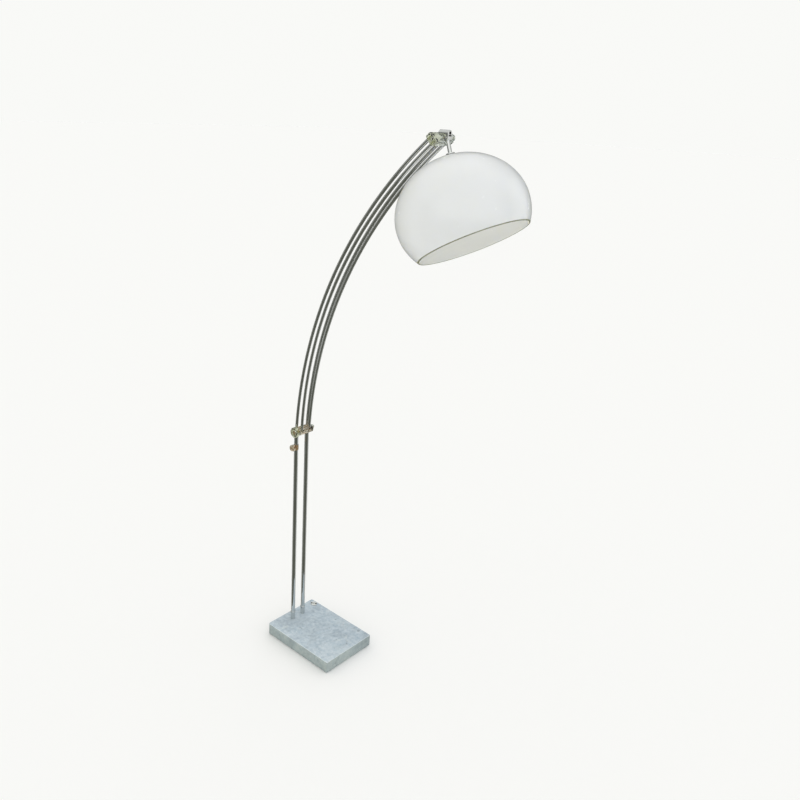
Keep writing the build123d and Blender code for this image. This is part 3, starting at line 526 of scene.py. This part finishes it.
def make_tubes():
    """Mast tubes, slider rods and curved rods, all round and smooth."""
    for name, side in (("near", -1), ("far", 1)):
        for node, radius, bore, body in ((f"{name}_mast_tube", tube_radius, tube_bore, "base"),
                                         (f"{name}_slider_rod", rod_radius, rod_bore, "arc")):
            low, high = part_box(node)
            foot = Vector((mast_x, side * mast_half_spacing, low.z))
            steps = 8
            path = [foot + Z * (high.z - low.z) * k / steps for k in range(steps + 1)]
            rod = hollow_rod(f"{node}_round", path, Y, radius, bore, "chrome")
            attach(rod, body)
            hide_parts(node)
        for pair in ("outer", "inner"):
            path, normal = curved_rod(pair, side)
            rod = hollow_rod(f"{pair}_{name}_rod_round", path, normal, rod_radius, rod_bore, "chrome")
            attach(rod, "arc")
            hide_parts(f"{pair}_{name}_rod")


# ---- clear knobs and end ball ----
clearance = 0.02 * MM           # round an insert or a bolt, so that no two faces lie together


def make_knob(node, insert_node, body, outward, dish, finish):
    """A round acrylic knob along Y: soft edges, two grooves round its rim, rings on its dished face."""
    low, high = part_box(node)
    insert_low, insert_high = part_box(insert_node)
    radius, length = (high.x - low.x) / 2, high.y - low.y
    bore = (insert_high.x - insert_low.x) / 2 + clearance
    flat_y = low.y if outward > 0 else high.y
    origin = Vector(((low.x + high.x) / 2, flat_y, (low.z + high.z) / 2))
    back_rounding = 0.20 * length
    front_rounding = 0.22 * length
    groove = 0.5 * MM                   # a rim groove's depth and half its width
    groove_rounding = 0.1 * MM
    dish_depth = 1.5 * MM
    dish_rounding = 0.3 * MM
    ring_pitch = 2.0 * MM
    ring_half_width = 0.45 * MM
    ring_depth = 0.35 * MM

    corners = [(bore, 0, 0), (radius, 0, back_rounding)]
    for share in (0.38, 0.62):
        along = length * share
        corners += [(radius, along - groove, groove_rounding), (radius - groove, along, groove_rounding),
                    (radius, along + groove, groove_rounding)]
    dish_floor = length - dish_depth
    corners += [(radius, length, front_rounding), (dish, length, dish_rounding),
                (dish, dish_floor, dish_rounding)]
    rings = max(2, round((dish - bore) / ring_pitch))
    for k in range(rings, 0, -1):
        reach = bore + (dish - bore) * (k - 0.5) / rings
        corners += [(reach + ring_half_width, dish_floor, 0), (reach, dish_floor - ring_depth, 0),
                    (reach - ring_half_width, dish_floor, 0)]
    corners.append((bore, dish_floor, 0))
    knob = lathe(f"{node}_turned", rounded(corners, 5), origin, Y * outward, "clear_acrylic", segments=96)
    knob.data.materials[0] = materials[finish]      # the slot's own acrylic, or a clearer look of it
    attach(knob, body)
    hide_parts(node)


def make_end_ball():
    """The ball nut on the clamp's far side, with a flat where it meets the washer and a blind hole."""
    low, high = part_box("clamp_end_ball")
    radius = (high.x - low.x) / 2
    centre = Vector(((low.x + high.x) / 2, high.y - radius, (low.z + high.z) / 2))
    flat = low.y - centre.y
    bolt_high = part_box("clamp_bolt")[1].y - centre.y + clearance
    bolt_radius = 3.0 * MM + clearance
    start = math.acos(flat / radius)
    steps = 40
    outline = [(bolt_radius, flat)]
    outline += [(radius * math.sin(start * (1 - k / steps)), radius * math.cos(start * (1 - k / steps)))
                for k in range(steps)]
    outline += [(0, radius), (0, bolt_high), (bolt_radius, bolt_high)]
    ball = lathe("clamp_end_ball_round", outline, centre, Y, "clear_acrylic", segments=64)
    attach(ball, "arc")
    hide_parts("clamp_end_ball")


def make_knobs():
    """The three acrylic knobs and the ball."""
    make_knob("clamp_knob", "clamp_knob_insert", "clamp_wheel", -1, 12.0 * MM, "clear_acrylic")
    make_knob("lock_knob", "lock_knob_insert", "lock", -1, 8.0 * MM, "clear_acrylic")
    make_knob("tilt_knob", "tilt_knob_insert", "tilt_wheel", 1, 6.5 * MM, "knob_acrylic")
    make_end_ball()


# ---- shade ----
def make_dome():
    """The opal dome: an ellipsoid round the stem's line, cut off on a slant, with a softened edge."""
    centre = tilt_pivot + stem_down * pivot_to_dome_centre
    outwards = Vector((math.cos(stem_angle), 0, math.sin(stem_angle)))
    opening = Vector((math.sin(opening_angle), 0, -math.cos(opening_angle)))
    slant = opening_angle - stem_angle
    segments, rows = 160, 72
    hole_radius = 5.3 * MM
    edge_height = 1.0 * MM
    edge_steps = 8
    edge_power = 0.6            # 1 would be a half ellipse; less is squarer
    # The painted shade of the rim starts on the outer skin just above the edge.
    rim_shade_start = 0.9945           # the edge's darker look begins this far down the skin

    def skin(turn, inset, share):
        """A point of the outer or the inset skin, from the hole (share 0) to the opening (share 1)."""
        wide, tall = dome_radius - inset, dome_half_height - inset
        a, b = wide * math.cos(turn) * math.sin(slant), tall * math.cos(slant)
        end = math.atan2(b, a) + math.asin((opening_depth - edge_height) / math.hypot(a, b))
        start = math.asin(hole_radius / wide)
        polar = start + (end - start) * share
        spoke = outwards * math.cos(turn) + Y * math.sin(turn)
        return centre + spoke * wide * math.sin(polar) - stem_down * tall * math.cos(polar)

    outer_shares = [row / rows for row in range(rows)] + [rim_shade_start, 1.0]
    points = []
    for k in range(segments):
        turn = 2 * math.pi * k / segments
        outer, inner = skin(turn, 0, 1), skin(turn, dome_wall, 1)
        points += [skin(turn, 0, share) for share in outer_shares]
        for step in range(1, edge_steps):
            angle = math.pi * step / edge_steps
            across = (1 - math.copysign(abs(math.cos(angle)) ** edge_power, math.cos(angle))) / 2
            points.append(outer.lerp(inner, across) + opening * edge_height * math.sin(angle) ** edge_power)
        points += [skin(turn, dome_wall, 1 - row / rows) for row in range(rows + 1)]
    ring = len(points) // segments
    faces, painted_shade_faces = [], []
    for k in range(segments):
        here, there = k * ring, (k + 1) % segments * ring
        for row in range(ring):
            nxt = (row + 1) % ring
            faces.append((here + row, here + nxt, there + nxt, there + row))
            painted_shade_faces.append(rows <= row <= rows + edge_steps)
    dome = add_mesh("dome_shade_smooth", points, faces, "opal_acrylic", sharp=60.0)
    # The edge and the outer skin's last band get the dark edge finish, which is painted shade.
    dome.data.materials.append(materials["opal_edge"])
    dome.data.polygons.foreach_set("material_index", [int(e) for e in painted_shade_faces])
    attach(dome, "head")
    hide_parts("dome_shade")


make_camera()
make_world()
make_floor()
make_materials()
dress_cad_nodes()
make_tubes()
make_knobs()
make_dome()

bpy.context.scene.view_settings.view_transform = "Standard"
